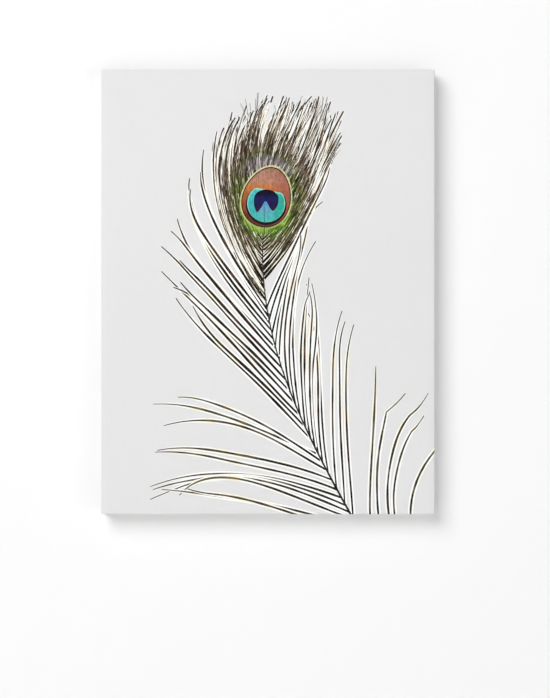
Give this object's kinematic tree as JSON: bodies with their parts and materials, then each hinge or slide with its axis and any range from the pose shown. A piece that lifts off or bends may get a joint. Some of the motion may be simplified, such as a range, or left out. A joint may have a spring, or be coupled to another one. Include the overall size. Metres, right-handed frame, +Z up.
{
  "type": "stretched canvas print",
  "caption": "Frameless canvas print of a peacock feather on a keyed wooden stretcher, with a sawtooth hanger and wall pads at the back.",
  "frame": {"origin": "middle notch of the sawtooth hanger, on the surface of the wall that the print hangs on", "axes": "+X right as seen from the front, +Y into the wall, so the picture faces -Y, and +Z up"},
  "size_m": [0.3, 0.022, 0.4],
  "materials": {
    "printed_canvas": "matt printed canvas",
    "pine": "planed, unvarnished",
    "key_wood": "sawn, unvarnished",
    "staple_steel": "galvanised wire",
    "zinc": "zinc plated",
    "brass": "brass plated",
    "rubber": "matt"
  },
  "bodies": {
    "root": {"canvas": "printed_canvas", "bar_top": "pine", "bar_bottom": "pine", "bar_left": "pine", "bar_right": "pine", "key_top_left_upright": "key_wood", "key_top_left_cross": "key_wood", "key_top_right_upright": "key_wood", "key_top_right_cross": "key_wood", "key_bottom_left_upright": "key_wood", "key_bottom_left_cross": "key_wood", "key_bottom_right_upright": "key_wood", "key_bottom_right_cross": "key_wood", "staple_top_1": "staple_steel", "staple_top_2": "staple_steel", "staple_top_3": "staple_steel", "staple_top_4": "staple_steel", "staple_top_5": "staple_steel", "staple_top_6": "staple_steel", "staple_bottom_1": "staple_steel", "staple_bottom_2": "staple_steel", "staple_bottom_3": "staple_steel", "staple_bottom_4": "staple_steel", "staple_bottom_5": "staple_steel", "staple_bottom_6": "staple_steel", "staple_left_1": "staple_steel", "staple_left_2": "staple_steel", "staple_left_3": "staple_steel", "staple_left_4": "staple_steel", "staple_left_5": "staple_steel", "staple_left_6": "staple_steel", "staple_right_1": "staple_steel", "staple_right_2": "staple_steel", "staple_right_3": "staple_steel", "staple_right_4": "staple_steel", "staple_right_5": "staple_steel", "staple_right_6": "staple_steel", "sawtooth_hanger": "zinc", "hanger_pin_left": "brass", "hanger_pin_right": "brass", "wall_pad_left": "rubber", "wall_pad_right": "rubber"}
  },
  "joints": []
}
